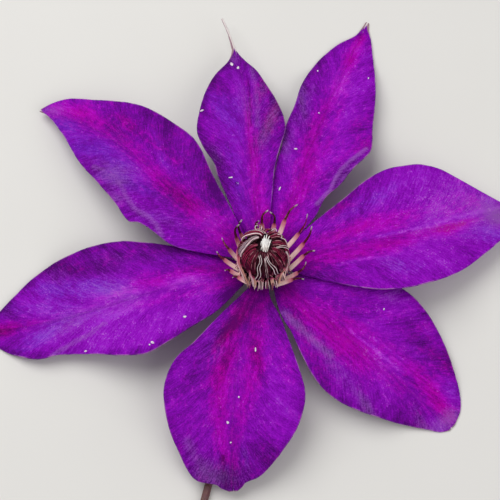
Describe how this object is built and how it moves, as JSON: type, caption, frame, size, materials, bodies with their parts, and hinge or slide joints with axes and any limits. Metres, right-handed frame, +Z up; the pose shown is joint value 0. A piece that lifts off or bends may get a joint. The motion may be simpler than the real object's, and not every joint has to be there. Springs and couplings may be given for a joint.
{
  "type": "clematis flower",
  "caption": "Open clematis flower lying face up, with broad pointed violet tepals, a ball of dark stamens with a white tuft, and a short bent stalk.",
  "frame": {"origin": "under the middle of the whole flower, on the surface that it lies on", "axes": "+Z up out of the face of the flower, -Y towards the cut end of the stalk, +X to the right as seen from the stalk's side"},
  "size_m": [0.1528, 0.155, 0.0288],
  "materials": {
    "tepal": "soft violet petal with a magenta bar",
    "filament": "cream to pink, matte",
    "anther": "dark maroon with pale edges",
    "style": "white, silky",
    "stalk": "smooth reddish brown"
  },
  "bodies": {
    "root": {"tepal_back_left": "tepal", "tepal_back": "tepal", "tepal_back_right": "tepal", "tepal_right": "tepal", "tepal_front_right": "tepal", "tepal_front": "tepal", "tepal_left": "tepal", "stem": "stalk", "stamens_outer": "filament", "stamens_inner": "anther", "styles": "style"}
  },
  "joints": []
}
